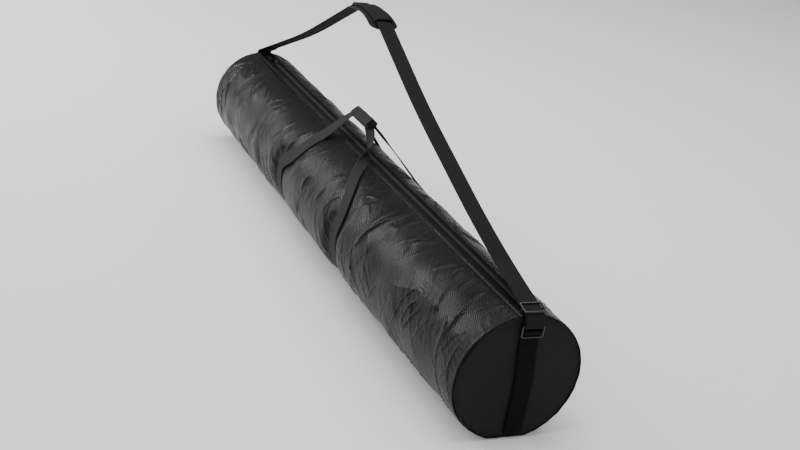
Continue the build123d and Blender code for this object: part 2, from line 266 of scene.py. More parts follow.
def hard(name, dark, light, rough, bump=0.00002, scale=500.0, coat=0.0, specular=0.5):
    """Lacquered metal or moulded plastic with fine unevenness and wear."""
    n = Nodes(name)
    place = n.place(False)
    grain = n.noise(place, scale, 3.0)
    worn = n.noise(place, scale / 14, 4.0)
    n.color(n.plus(n.times(grain, 0.4), n.times(worn, 0.6)), dark, light)
    n.roughness(worn, *rough)
    n.bump(grain, bump)
    n.shader.inputs["Specular IOR Level"].default_value = specular
    if coat:
        set_inputs(n.shader, {"Coat Weight": coat, "Coat Roughness": 0.15})
    return n.material


# The nylon's moire ribs are painted sheen bands in its colour, with a fine relief in its bump.
NYLON = woven("nylon", 0.004, 0.014, 0.0009, (0.23, 0.34), 0.00006, specular=0.13, moire=0.0036)
END_CLOTH = woven("end_cloth", 0.008, 0.017, 0.0012, (0.6, 0.8), 0.00010, specular=0.15)
WEB = woven("webbing", 0.008, 0.019, 0.0021, (0.55, 0.75), 0.00022, specular=0.2)
TAB_WEB = woven("tab_webbing", 0.0015, 0.005, 0.0021, (0.6, 0.8), 0.00022, specular=0.08)
BINDING = woven("pad_binding", 0.010, 0.022, 0.0012, (0.5, 0.7), 0.0001, uv=False, specular=0.2)
FOLDED_WEB = woven("folded_webbing", 0.008, 0.019, 0.0021, (0.55, 0.75), 0.00022, uv=False, specular=0.2)
STRAP_WEB = woven("strap_webbing", 0.013, 0.028, 0.0019, (0.7, 0.85), 0.00020, specular=0.03)
PAD_CLOTH = woven("pad_cloth", 0.004, 0.009, 0.0011, (0.62, 0.8), 0.0001, specular=0.15)
TAPE = woven("zip_tape", 0.006, 0.014, 0.0010, (0.6, 0.8), 0.0001, uv=False, specular=0.06)
WRAP_CLOTH = woven("wrap_cloth", 0.004, 0.010, 0.0010, (0.5, 0.7), 0.00012, specular=0.25)
HOOKS = woven("hook_tape", 0.006, 0.014, 0.0013, (0.8, 0.95), 0.0004, uv=False)
INSIDE = woven("lining", 0.03, 0.05, 0.0012, (0.6, 0.8), uv=False)
PIPING = hard("piping", 0.003, 0.006, (0.28, 0.40), bump=0.00004, scale=300, specular=0.12)
COIL = hard("zip_coil", 0.014, 0.036, (0.3, 0.45), scale=700, specular=0.2)
METAL = hard("black_metal", 0.002, 0.005, (0.12, 0.22), coat=0.2, specular=0.5)
FOAM = hard("foam", 0.06, 0.1, (0.8, 0.95), bump=0.0002, scale=900)
THREAD = hard("thread", 0.008, 0.02, (0.5, 0.7), scale=1500, specular=0.2)


# ---- mesh helpers
def make_object(name, vertices, faces, material, uvs=None):
    """A mesh object. uvs holds one (u, v) per vertex, in metres of flat cloth."""
    mesh = bpy.data.meshes.new(name)
    vertices = np.asarray(vertices, float).reshape(-1, 3)
    mesh.from_pydata([tuple(v) for v in vertices], [], faces)
    if uvs is not None:
        layer = mesh.uv_layers.new(name="cloth")
        loops = np.zeros(len(mesh.loops), np.int32)
        mesh.loops.foreach_get("vertex_index", loops)
        layer.data.foreach_set("uv", np.asarray(uvs, np.float32).reshape(-1, 2)[loops].ravel())
    mesh.polygons.foreach_set("use_smooth", [True] * len(mesh.polygons))
    mesh.materials.append(material)
    mesh.validate()
    return add_object(name, mesh)


def grid_faces(rows, columns, closed=False):
    """Quads of a grid stored row by row; closed joins the last column to the first."""
    faces = []
    for i in range(rows - 1):
        for j in range(columns if closed else columns - 1):
            k = (j + 1) % columns
            faces.append((i * columns + j, i * columns + k, (i + 1) * columns + k, (i + 1) * columns + j))
    return faces


def sheet(name, points, material, uvs, closed=False):
    """A mesh object from a grid of points."""
    return make_object(name, points, grid_faces(*points.shape[:2], closed), material, uvs)


def end_caps(rows, columns):
    """Faces that close the first and the last ring of a closed grid."""
    last = (rows - 1) * columns
    return [tuple(range(columns - 1, -1, -1)), tuple(range(last, last + columns))]


def thicken(made, name, thickness, offset=-1):
    """Gives a one-sheet mesh its thickness."""
    modifier = made.modifiers.new(name, "SOLIDIFY")
    modifier.thickness, modifier.offset = thickness, offset


def turn_faces_out(made, merge=0.0):
    """Makes the normals agree, after joining points closer than merge."""
    bm = bmesh.new()
    bm.from_mesh(made.data)
    if merge:
        bmesh.ops.remove_doubles(bm, verts=bm.verts, dist=merge)
    bmesh.ops.recalc_face_normals(bm, faces=bm.faces)
    bm.to_mesh(made.data)
    bm.free()


def clamp(value):
    return np.clip(value, 0, 1)


def ease(value):
    """0 to 1 with a soft start and end."""
    t = clamp(value)
    return t * t * (3 - 2 * t)


def around(count):
    """Angles of that many equal steps round a circle."""
    return np.linspace(0, math.tau, count, endpoint=False)


def squarish(value, power):
    """A sine or cosine flattened towards a square wave."""
    return np.sign(value) * np.abs(value) ** power


def unit(v):
    return v / np.maximum(np.linalg.norm(v, axis=-1, keepdims=True), 1e-12)


def resample(points, step):
    """Points a step apart along a polyline."""
    points = np.asarray(points, float)
    lengths = np.linalg.norm(np.diff(points, axis=0), axis=1)
    along = np.concatenate([[0], np.cumsum(lengths)])
    count = max(2, int(round(along[-1] / step)) + 1)
    where = np.linspace(0, along[-1], count)
    return np.stack([np.interp(where, along, points[:, k]) for k in range(points.shape[1])], 1)


CORNER_CUTS = 3


def smooth_path(points, step):
    """A smooth line along a few given points, as points a step apart."""
    for _ in range(CORNER_CUTS):
        a, b = points[:-1], points[1:]
        cut = np.stack([0.75 * a + 0.25 * b, 0.25 * a + 0.75 * b], 1).reshape(-1, points.shape[1])
        points = np.vstack([points[:1], cut, points[-1:]])
    return resample(points, step)


OTHER_FACE = 0.1  # how far the flat cloth of a piece's other face lies from that of its first


def ribbon(name, centres, across, material, width=WEBBING):
    """Webbing along centres, lying across one direction or one per point, with rounded selvedges."""
    columns = 13
    forward = unit(np.gradient(centres, axis=0))
    across = unit(across - forward * np.sum(across * forward, 1, keepdims=True))
    normal = np.cross(forward, across)
    widths = np.broadcast_to(np.asarray(width, float), (len(centres),))
    s = np.linspace(-1, 1, columns)
    edge = np.sqrt(np.clip(1 - np.abs(s) ** 14, 0.02, 1))
    along = np.concatenate([[0], np.cumsum(np.linalg.norm(np.diff(centres, axis=0), axis=1))])
    ring, uv_ring = [], []
    for side, order in ((1, range(columns)), (-1, range(columns - 1, -1, -1))):
        for j in order:
            lift = side * PLY / 2 * edge[j]
            ring.append(centres + across * (s[j] * widths / 2)[:, None] + normal * lift)
            uv_ring.append(np.stack([along, s[j] * widths / 2 + (0 if side > 0 else OTHER_FACE)], 1))
    vertices = np.stack(ring, 1)
    uvs = np.stack(uv_ring, 1)
    faces = grid_faces(len(centres), 2 * columns, closed=True) + end_caps(len(centres), 2 * columns)
    return make_object(name, vertices, faces, material, uvs)


def bead_loop(name, centres, radius, material, sides):
    """A round bead along a closed line."""
    forward = unit(np.roll(centres, -1, 0) - np.roll(centres, 1, 0))
    a = unit(np.cross(forward, ALONG))
    b = np.cross(forward, a)
    turn = around(sides)
    spokes = a[:, None] * np.cos(turn)[:, None] + b[:, None] * np.sin(turn)[:, None]
    points = centres[:, None] + spokes * radius
    faces = grid_faces(len(centres), sides, closed=True)
    last = (len(centres) - 1) * sides
    faces += [(last + j, last + (j + 1) % sides, (j + 1) % sides, j) for j in range(sides)]
    return make_object(name, points, faces, material)


STITCH_PITCH = 0.0046  # one stitch and the gap after it
STITCH_RINGS = 4
STITCH_SIDES = 6
STITCH_LIFT = np.array([0.15, 1.0, 1.0, 0.15])  # height and size of each ring, in radii
STITCH_SIZE = (0.6, 1.0, 1.0, 0.6)


def stitches(name, centres, normals, body, radius=0.00035):
    """A row of separate stitches along a seam, each a short raised bead, in one object."""
    seam = np.hstack([centres, np.broadcast_to(normals, centres.shape)])
    line = resample(seam, STITCH_PITCH / STITCH_RINGS)
    vertices, faces = [], []
    one = grid_faces(STITCH_RINGS, STITCH_SIDES, closed=True) + end_caps(STITCH_RINGS, STITCH_SIDES)
    for start in range(0, len(line) - STITCH_RINGS, STITCH_RINGS):
        run = line[start:start + STITCH_RINGS]
        n = unit(run[:, 3:])
        p = run[:, :3] + n * (STITCH_LIFT * radius)[:, None]
        forward = unit(np.gradient(p, axis=0))
        side = unit(np.cross(forward, n))
        rim = np.cross(side, forward)
        faces += [tuple(len(vertices) + k for k in face) for face in one]
        for i, size in enumerate(STITCH_SIZE):
            for k in range(STITCH_SIDES):
                t = math.tau * k / STITCH_SIDES
                vertices.append(p[i] + (side[i] * math.cos(t) + rim[i] * math.sin(t)) * radius * size)
    made = make_object(name, vertices, faces, THREAD)
    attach(made, body)


# ---- the bag's section
def section_point(angle, depth):
    """Point (y, z) of the bag's section, inset by depth. The angle runs from the top down the left."""
    r = RADIUS - depth
    y = r * np.sin(angle)
    z = AXIS_Z + r * np.cos(angle)
    return y, np.maximum(z, FLAT_Z + depth)


def section_normal(angle):
    """Outward direction (y, z) of the section at that angle."""
    flat = AXIS_Z + RADIUS * np.cos(angle) < FLAT_Z
    y, z = np.sin(angle), np.cos(angle)
    return np.where(flat, 0.0, y), np.where(flat, -1.0, z)


# ---- the sleeve
def cloth_field(shape, steps, wavelength, direction, spread, band=0.35):
    """Random waves of about that length, whose crests lie across direction, with a spread of 1."""
    spectrum = np.fft.fft2(rng.standard_normal(shape))
    fx = np.fft.fftfreq(shape[0], steps[0])[:, None]
    fy = np.fft.fftfreq(shape[1], steps[1])[None]
    length = np.hypot(fx, fy) * wavelength
    off = (np.arctan2(fy, fx) - direction + math.pi / 2) % math.pi - math.pi / 2
    keep = np.exp(-((length - 1) / band) ** 2) * np.exp(-(off / spread) ** 2)
    waves = np.fft.ifft2(spectrum * keep).real
    return waves / waves.std()


def creases(waves, sharp):
    """Narrow ridges along the lines where the waves cross zero."""
    return np.exp(-(waves / sharp) ** 2)


# A handle leg's rest line, from its foot to the grip. A share runs from the grip (0) to the foot (1).
LEG_ROUTES = {
    (-1, "front"): (
        # on the bag: degrees down from the top, share
        ((86, 1.0), (74, 1.05), (63, 1.03), (46, 0.84), (27, 0.50), (17, 0.376)),
        # in the air: share, y to that side, height above the axis
        ((0.31, 0.0165, 0.1135), (0.21, 0.0110, 0.1270), (0.09, 0.0065, 0.1410), (-0.06, 0.0040, 0.1505)),
        # at each of these points: degrees of twist, width in mm
        (0, -1, -3, -3, -1, 14, 84, 122, 150, 165),
        (30, 28, 26, 24, 23, 22, 21, 19, 17, 16),
    ),
    (1, "front"): (
        ((86, 1.0), (74, 0.90), (60, 0.70), (48.5, 0.50)),
        ((0.34, 0.0530, 0.0960), (0.18, 0.0295, 0.1235), (0.07, 0.0125, 0.1425), (-0.06, 0.0040, 0.1520)),
        (0, 0, 0, 0, -8, -14, -38, -55),
        (30, 30, 30, 30, 28, 24, 19, 16),
    ),
    (-1, "rear"): (
        ((86, 1.0), (76, 0.93), (66, 0.60), (52, 0.44), (33, 0.38)),
        ((0.30, 0.0340, 0.1060), (0.17, 0.0170, 0.1280), (0.06, 0.0080, 0.1425), (-0.06, 0.0040, 0.1505)),
        (0, 0, 0, 0, -4, -12, -22, -32, -40),
        (30, 30, 30, 30, 30, 29, 25, 20, 17),
    ),
    (1, "rear"): (
        ((86, 1.0), (74, 0.85), (60, 0.62), (48.5, 0.42)),
        ((0.28, 0.0530, 0.0960), (0.15, 0.0295, 0.1235), (0.06, 0.0125, 0.1425), (-0.06, 0.0040, 0.1520)),
        (0, 0, 0, 0, -8, -14, -30, -40),
        (30, 30, 30, 30, 28, 24, 19, 16),
    ),
}
GRIP_LOW, GRIP_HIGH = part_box("grip_wrap")
GRIP_MID = (GRIP_LOW + GRIP_HIGH) / 2


def leg_ends(end_name):
    """Places along X of a leg's foot and of the grip's end above it."""
    low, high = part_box(f"{end_name}_belly_band")
    return (low.x + high.x) / 2, GRIP_HIGH.x if high.x > 0 else GRIP_LOW.x


def under_webbing(x, signed, beside=0.006):
    """1 where the handles' webbing presses on the sleeve, falling to 0 over the width beside it."""
    arc = signed * RADIUS
    near = np.ones_like(x)
    for end_name in ("front", "rear"):
        foot_x, grip_x = leg_ends(end_name)
        below = np.abs(signed) > math.radians(80)
        near = np.where(below, np.minimum(near, np.abs(x - foot_x)), near)
        for side in (-1, 1):
            line = [
                (grip_x + share * (foot_x - grip_x), side * math.radians(angle) * RADIUS)
                for angle, share in LEG_ROUTES[side, end_name][0]
            ]
            for (ax, ay), (bx, by) in zip(line, line[1:]):
                length = (bx - ax) ** 2 + (by - ay) ** 2
                share = clamp(((x - ax) * (bx - ax) + (arc - ay) * (by - ay)) / length)
                away = np.hypot(x - ax - share * (bx - ax), arc - ay - share * (by - ay))
                near = np.minimum(near, away)
    return 1 - ease((near - WEBBING / 2) / beside)


# Long folds. Each has its place along X and its degrees down the right side, for both ends, then its
# height in steps of FOLD_STEP and its half width in mm.
FOLD_STEP = 1 / 750  # metres
FOLD_LINES = (
    (0.268, 11, 0.228, 80, 3.2, 8), (0.236, 18, 0.236, 56, 2.0, 6),
    (0.124, 18, 0.168, 48, 1.8, 6), (0.504, 59, 0.460, 15, 2.8, 8),
    (0.552, 63, 0.536, 17, 2.8, 7), (0.472, 55, 0.508, 59, 2.2, 5),
    (0.532, 55, 0.548, 64, 2.2, 5), (0.428, 37, 0.452, 18, 2.0, 5),
    (0.464, 33, 0.460, 14, 1.8, 5), (0.348, 37, 0.368, 16, 2.0, 6),
    (0.340, 84, 0.444, 58, 1.8, 8), (0.568, 42, 0.588, 11, 1.6, 5),
    (0.040, 55, 0.064, 33, 1.8, 5), (-0.168, 79, -0.144, 30, 2.0, 6),
    (-0.032, 84, -0.024, 59, 2.0, 5), (0.040, 78, 0.044, 54, 1.8, 5),
    (-0.440, 43, -0.468, 6, 2.0, 6), (-0.384, 23, -0.340, 48, 2.2, 5),
    (-0.612, 74, -0.600, 40, 1.4, 5), (-0.600, 47, -0.564, 20, 1.4, 5),
    (-0.308, 53, -0.296, 39, 1.6, 5), (0.300, -14, 0.330, -70, 1.8, 6),
    (0.050, -14, 0.010, -65, 1.8, 6), (-0.350, -14, -0.310, -70, 2.0, 6),
    (0.480, -60, 0.540, -16, 2.0, 6), (-0.150, -70, -0.210, -20, 1.6, 6),
)


def long_folds(x, signed):
    """The long folds, each steep towards the front, and how much each point lies under one."""
    height, cover = np.zeros_like(x), np.zeros_like(x)
    for x0, down0, x1, down1, size, half in FOLD_LINES:
        start = np.array([x0, -math.radians(down0) * RADIUS])
        run = np.array([x1, -math.radians(down1) * RADIUS]) - start
        length = np.linalg.norm(run)
        front = np.array([abs(run[1]), -run[0] * np.sign(run[1])]) / length
        dx, dy = x - start[0], signed * RADIUS - start[1]
        share = (dx * run[0] + dy * run[1]) / length ** 2
        away = dx * front[0] + dy * front[1] + 0.0022 * np.sin(share * 5 + x0 * 40)
        width = half / 1000 * np.where(away > 0, 0.45, 1.0)
        taper = np.sin(math.pi * clamp(share)) ** 0.7
        height += size * FOLD_STEP * taper * np.exp(-np.sqrt((away / width) ** 2 + 0.04))
        cover = np.maximum(cover, taper * np.exp(-(away / 0.016) ** 2))
    return height, cover


PATCH_SIZES = (0.17, 0.14, 0.12, 0.16)  # of the areas with and without creases, one set per crease size
CREASES = (
    # wavelength, direction, height, sharpness
    (0.080, 0.45, 0.0015, 0.11), (0.062, -0.55, 0.0013, 0.12), (0.048, 0.95, 0.0011, 0.14),
)
BROAD, FINE, PUCKER, GATHER = 0.0008, 0.00042, 0.0013, 0.0010  # heights of the other waves


def folds(x, signed, steps):
    """How far the cloth stands out of the plain sleeve at each point, in metres."""
    shape = x.shape
    reach = np.abs(signed) * RADIUS - SLOT
    back = HALF - np.abs(x)
    patches = [
        np.clip(0.15 + 0.75 * cloth_field(shape, steps, size, 0.4, 9.0, 0.8), 0, 1.4)
        for size in PATCH_SIZES
    ]
    height = BROAD * cloth_field(shape, steps, 0.13, 0.4, 1.2, 0.5)
    for patch, (wavelength, direction, size, sharp) in zip(patches, CREASES):
        waves = cloth_field(shape, steps, wavelength, direction, 0.30)
        height += size * patch * creases(waves, sharp)
        height += 0.26 * size * waves * patch
    fine = cloth_field(shape, steps, 0.022, 0.3, 0.8)
    height += FINE * patches[3] * (creases(fine, 0.30) + 0.3 * fine)
    long_height, cover = long_folds(x, signed)
    height = height * (1 - 0.6 * cover) + long_height
    # Puckers that run off the zip's hems, and gathers at the end seams.
    puckers = cloth_field(shape, steps, 0.020, 0.25, 0.45)
    near_zip = np.exp(-np.clip(reach - 0.006, 0, None) / 0.022) * clamp((reach - 0.004) / 0.006)
    height += PUCKER * near_zip * creases(puckers, 0.45)
    gathers = cloth_field(shape, steps, 0.024, math.pi / 2 - 0.2, 0.4)
    near_end = np.exp(-np.clip(back - 0.006, 0, None) / 0.030)
    height += GATHER * near_end * creases(gathers, 0.5)
    return height


SLEEVE_END = HALF - 0.0022
SINK = 0.0016  # how deep the folds may go, where the foam is set in
SOFTEN = 0.0005  # how softly they meet that depth
BULGE = 0.0075  # the sag of the cloth on the right side
HEM, RIM_HEM = 0.0012, 0.0006  # height of the sewn edges by the zip and by the ends


def build_sleeve():
    """The nylon sleeve as one wrinkled cloth from one edge of the zip round to the other."""
    start = math.asin(SLOT / RADIUS)
    rows, columns = 640, 320
    x = np.linspace(-SLEEVE_END, SLEEVE_END, rows)[:, None] * np.ones((1, columns))
    angle = np.linspace(start, math.tau - start, columns)[None] * np.ones((rows, 1))
    signed = np.where(angle > math.pi, angle - math.tau, angle)
    steps = (x[1, 0] - x[0, 0], (angle[0, 1] - angle[0, 0]) * RADIUS)
    reach = np.abs(signed) * RADIUS - SLOT
    back = HALF - np.abs(x)
    lift = folds(x, signed, steps)
    lowest = -SINK * clamp((reach - 0.011) / 0.012) * clamp((back - 0.004) / 0.02)
    lift = lowest + np.logaddexp(0, (lift - lowest) / SOFTEN) * SOFTEN
    lift *= np.clip(reach / 0.014, 0.08, 1) * np.clip(back / 0.012, 0.15, 1)
    pressed = under_webbing(x, signed)
    lift = lift * (1 - pressed) + np.minimum(lift, -0.0001) * pressed
    lift *= 1 - 0.5 * np.exp(-((signed - 1.0) / 0.65) ** 2)
    side_bulge = BULGE * np.exp(-((signed + 1.75) / 0.8) ** 2) * np.exp(-((x - 0.10) / 0.42) ** 2)
    lift += side_bulge * (1 - under_webbing(x, signed, 0.022))
    lift *= 1 - clamp((np.abs(signed) - 2.45) / 0.35)

    # Closer columns beside the zip, where the hem is folded and sewn.
    close = start + np.arange(0, 0.0125, 0.0007) / RADIUS
    fine = np.unique(np.concatenate([angle[0], close, math.tau - close]))
    lift = np.stack([np.interp(fine, angle[0], row) for row in lift])
    columns = len(fine)
    x = x[:, :1] * np.ones((1, columns))
    signed = np.where(fine > math.pi, fine - math.tau, fine)[None] * np.ones((rows, 1))
    reach = np.abs(signed) * RADIUS - SLOT
    back = HALF - np.abs(x)
    hem = np.exp(-((reach - 0.0020) / 0.0017) ** 2) - 0.7 * np.exp(-((reach - 0.0057) / 0.0009) ** 2)
    rim_hem = np.exp(-((back - 0.0052) / 0.0024) ** 2)
    lift += HEM * hem + RIM_HEM * rim_hem
    y, z = section_point(signed, 0.0003)
    ny, nz = section_normal(signed)
    points = np.stack([x, y + ny * lift, z + nz * lift], -1)
    uvs = np.stack([x, signed * RADIUS], -1)
    sleeve = sheet("nylon_sleeve", points, NYLON, uvs)
    thicken(sleeve, "cloth", 0.0006)
    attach(sleeve, "bag")
    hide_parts("right_sleeve_half", "left_sleeve_half")


PADDING_EDGE = 0.0225  # from the middle of the zip to the foam's edge
PADDING_DEPTH, PADDING_THICK = 0.0032, 0.0017


def build_padding():
    """The foam layer under the sleeve, set in far enough to leave the cloth its folds."""
    low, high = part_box("foam_padding")
    start = math.asin(PADDING_EDGE / RADIUS)
    x, angle = np.meshgrid(
        np.linspace(low.x, high.x, 60), np.linspace(start, math.tau - start, 120), indexing="ij"
    )
    y, z = section_point(angle, PADDING_DEPTH)
    points = np.stack([x, y, z], -1)
    uvs = np.stack([x, angle * RADIUS], -1)
    padding = sheet("wall_padding", points, FOAM, uvs)
    thicken(padding, "foam", PADDING_THICK)
    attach(padding, "bag")
    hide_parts("foam_padding")


build_padding()
build_sleeve()


# ---- the two ends
PIPING_WAVE = 0.00025
DENTS = 16
RUFFLES = (9, 14, 21, 33)  # waves round the disc's edge
DEEPEST = 0.0011  # how far the disc's cloth may sink


def build_end(end, name):
    """The cloth disc, its piping and the thread round it."""
    rings, spokes = 34, 200
    angle = around(spokes)
    share = np.linspace(0, 1, rings) ** 0.8
    edge_y, edge_z = section_point(angle, 0.0022)
    y = share[:, None] * edge_y[None]
    z = AXIS_Z + share[:, None] * (edge_z - AXIS_Z)[None]
    dent = np.zeros_like(y)
    for _ in range(DENTS):
        cy, cz = rng.uniform(-0.08, 0.08, 2)
        width, turn = rng.uniform(0.012, 0.035), rng.uniform(0, math.pi)
        dy, dz = y - cy, z - AXIS_Z - cz
        over = dy * math.cos(turn) + dz * math.sin(turn)
        along = -dy * math.sin(turn) + dz * math.cos(turn)
        dent += rng.uniform(0, 0.0005) * np.exp(-(over / width) ** 2 - (along / (2.5 * width)) ** 2)
    ruffle = sum(rng.uniform(0.2, 1) * np.cos(k * angle + rng.uniform(0, 6.3)) for k in RUFFLES)
    near_rim = clamp((share - 0.82) / 0.18)[:, None]
    dent += near_rim ** 2 * (0.0004 + 0.00012 * ruffle[None])
    x = end * (HALF - 0.0001 - np.clip(dent, 0, DEEPEST))
    points = np.stack([x, y, z], -1)
    uvs = np.stack([y, z], -1)
    faces = [f[::end] for f in grid_faces(rings, spokes, closed=True)]
    disc = make_object(f"{name}_cloth_end", points, faces, END_CLOTH, uvs)
    turn_faces_out(disc, merge=1e-6)
    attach(disc, "bag")
    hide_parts(f"{name}_end_disc")

    turns = around(420)
    bead_y, bead_z = section_point(turns, 0.0009)
    wave = PIPING_WAVE * (np.sin(17 * turns + 1) + np.sin(29 * turns))
    bead_x = end * (HALF - 0.0006) + wave
    line = np.stack([bead_x, bead_y, np.maximum(bead_z, FLAT_Z + 0.0005)], 1)
    bead = bead_loop(f"{name}_piping_bead", line, 0.0014, PIPING, sides=10)
    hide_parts(f"{name}_piping")
    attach(bead, "bag")

    # Top-stitching in the sleeve, just inside the piping.
    seam_turn = np.linspace(0.2, math.tau - 0.2, 260)
    sy, sz = section_point(seam_turn, -0.0005)
    ny, nz = section_normal(seam_turn)
    centres = np.stack([np.full_like(seam_turn, end * (HALF - 0.0085)), sy, sz], 1)
    keep = sz > FLAT_Z + 0.002
    normals = np.stack([np.zeros_like(ny), ny, nz], 1)
    stitches(f"{name}_rim_stitching", centres[keep], normals[keep], "bag")


build_end(1, "front")
build_end(-1, "rear")


# ---- the zip
TOOTH_PROFILE = np.array([  # distance from the middle, share of the height
    (0.0001, 0.15), (0.0004, 0.75), (0.0010, 1.0), (0.0021, 1.0), (0.0028, 0.6), (0.0028, 0.0),
])
TOOTH_WIDTHS = 0.72 * np.array([0.35, 0.5, 0.62, 0.62, 0.5, 0.4])  # in pitches, from the middle line
TOOTH_DROP = 0.0002  # the flanks lie that much lower
TOOTH_PITCH = 0.0018
ZIP_SEAMS = (("inner", 0.0022), ("outer", 0.0075))  # distance from the sleeve's edge


def build_zip():
    """Two rows of coil teeth and the stitching that holds the tapes to the sleeve."""
    coil_low, coil_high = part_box("right_zip_coil")
    count = int((coil_high.x - coil_low.x) / TOOTH_PITCH)
    for side, name, shift in ((-1, "right", 0.0), (1, "left", 0.25)):
        y = side * TOOTH_PROFILE[:, 0]
        z = coil_low.z + (coil_high.z - coil_low.z) * TOOTH_PROFILE[:, 1]
        vertices, faces = [], []
        half_t = TOOTH_WIDTHS * TOOTH_PITCH
        for i in range(count):
            x = coil_low.x + (i + 0.5 + shift) * TOOTH_PITCH
            start = len(vertices)
            for j in range(len(y)):
                vertices.append((x - half_t[j], y[j], z[j] - TOOTH_DROP))
                vertices.append((x, y[j], z[j]))
                vertices.append((x + half_t[j], y[j], z[j] - TOOTH_DROP))
            faces += [tuple(start + k for k in face)[::-side] for face in grid_faces(len(y), 3)]
        made = make_object(f"{name}_coil_teeth", vertices, faces, COIL)
        thicken(made, "tooth", 0.0003)
        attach(made, "bag")
        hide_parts(f"{name}_zip_coil")
        x = np.linspace(-HALF + 0.012, HALF - 0.012, 400)
        for row, inset in ZIP_SEAMS:
            angle = (SLOT + inset) / RADIUS
            sy, sz = section_point(np.full_like(x, angle), -0.0006)
            centres = np.stack([x, side * sy, sz], 1)
            normal = (0, side * math.sin(angle), math.cos(angle))
            stitches(f"{name}_zip_stitching_{row}", centres, normal, "bag")


build_zip()


# ---- webbing lines taken from the CAD
ARC_STEPS = 24


def fillet_path(points, radii, step):
    """The line through points in (x, z), each corner rounded to its radius, as in the CAD webbing."""
    points = [Vector(p) for p in points]
    line = [tuple(points[0])]
    for before, corner, after, radius in zip(points, points[1:], points[2:], radii):
        a, b = (before - corner).normalized(), (after - corner).normalized()
        half_turn = (math.pi - a.angle(b)) / 2
        centre = corner + (a + b).normalized() * (radius / math.cos(half_turn))
        first = corner + a * (radius * math.tan(half_turn)) - centre
        last = corner + b * (radius * math.tan(half_turn)) - centre
        turn = first.angle_signed(last)
        for k in range(ARC_STEPS + 1):
            angle = -turn * k / ARC_STEPS
            c, s = math.cos(angle), math.sin(angle)
            line.append((centre.x + first.x * c - first.y * s, centre.y + first.x * s + first.y * c))
    line.append(tuple(points[-1]))
    return resample(line, step)


def upright(line):
    """A line in (x, z) as points in the bag's middle plane."""
    return np.stack([line[:, 0], np.zeros(len(line)), line[:, 1]], 1)


RING_LOW, RING_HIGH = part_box("front_ring")
RING_X = (RING_LOW.x + RING_HIGH.x) / 2
WIRE = RING_HIGH.x - RING_LOW.x
RING_MID = (RING_LOW.z + RING_HIGH.z) / 2
RING_BAR = RING_HIGH.z - WIRE / 2
TURN = STRAP_FACE - RING_X  # from a bar's middle to the webbing round it
RIM = HALF - 0.007  # where the strap leaves the rim
RIM_Z = AXIS_Z + 0.1088
# The strap's own line, in (x, z), from each rim up to the pad, as in the CAD.
LINES = {
    1: [(0.4700, AXIS_Z + 0.1430), (0.1800, AXIS_Z + 0.2460)],
    -1: [(-0.3638, AXIS_Z + 0.2156)],
}
PAD_CORNER = (-0.0850, AXIS_Z + 0.3635)
PAD_BEND = 0.165
PAD_LENGTH = 0.146
SAG = 2.0  # radius of the strap's other bends
STRAP_GAP = 0.04  # between the two lengths, inside the pad


def rim_slope(end):
    """How steeply the strap rises inwards from the rim."""
    x, z = LINES[end][0]
    return (z - RIM_Z) / (RIM - abs(x))


def strap_half(end, step):
    """The strap from behind one ring's top bar, over the rim and up to its end inside the pad."""
    corner_z = RIM_Z - rim_slope(end) * (STRAP_FACE - RIM)
    low = RING_BAR - TURN
    points = [
        (end * (RING_X - TURN), RING_BAR),
        (end * (RING_X - TURN), low),
        (end * STRAP_FACE, low),
        (end * STRAP_FACE, corner_z),
        *LINES[end],
        PAD_CORNER,
        LINES[-end][-1],
    ]
    bend = 0.96 * TURN
    line = fillet_path(points, [bend, bend, 0.016] + [SAG] * len(LINES[end]) + [PAD_BEND], step)
    stop = PAD_CENTRE.x + end * STRAP_GAP / 2
    return line[line[:, 0] > stop] if end > 0 else line[line[:, 0] < stop]


def pad_frame():
    """Centre of the pad's bend and the angle of its middle, in the (x, z) plane."""
    corner = Vector(PAD_CORNER)
    a = (Vector(LINES[1][-1]) - corner).normalized()
    b = (Vector(LINES[-1][-1]) - corner).normalized()
    half_turn = (math.pi - a.angle(b)) / 2
    centre = corner + (a + b).normalized() * (PAD_BEND / math.cos(half_turn))
    return centre, math.atan2(corner.y - centre.y, corner.x - centre.x)


PAD_CENTRE, PAD_ANGLE = pad_frame()


def build_strap():
    """The shoulder strap: two lengths of webbing that end inside the pad, and their return plies."""
    for end, name in ((1, "front"), (-1, "rear")):
        line = upright(strap_half(end, 0.0016))
        strap = ribbon(f"{name}_strap_webbing", line, ACROSS, STRAP_WEB)
        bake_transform(strap)
        replaced = ["front_strap_root", "shoulder_strap"] if end > 0 else ["rear_strap_root"]
        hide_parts(*replaced)

    for end, stop, name, node in (
        (1, HALF - 0.0042, "adjuster", "adjuster_return"),
        (-1, HALF - 0.036, "rear", "rear_strap_return"),
    ):
        slope = rim_slope(end)
        back = RING_X - TURN
        line_z = RIM_Z - (PLY + 0.0002) * math.hypot(1, slope)
        points = [
            (end * back, RING_BAR + 0.0001),
            (end * back, line_z + slope * (RIM - back)),
            (end * stop, line_z + slope * (RIM - stop)),
        ]
        line = upright(fillet_path(points, [0.009], 0.0012))
        made = ribbon(f"{name}_return_ply", line, ACROSS, STRAP_WEB)
        if end > 0:
            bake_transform(made)
        else:
            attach(made, "bag")
        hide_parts(node)


build_strap()


# ---- end tabs
TAB_SEAMS = (0.0155, 0.0215, 0.0275)  # below the ring's middle
TAB_SWAY = 0.0075  # how far a tab's foot drifts sideways


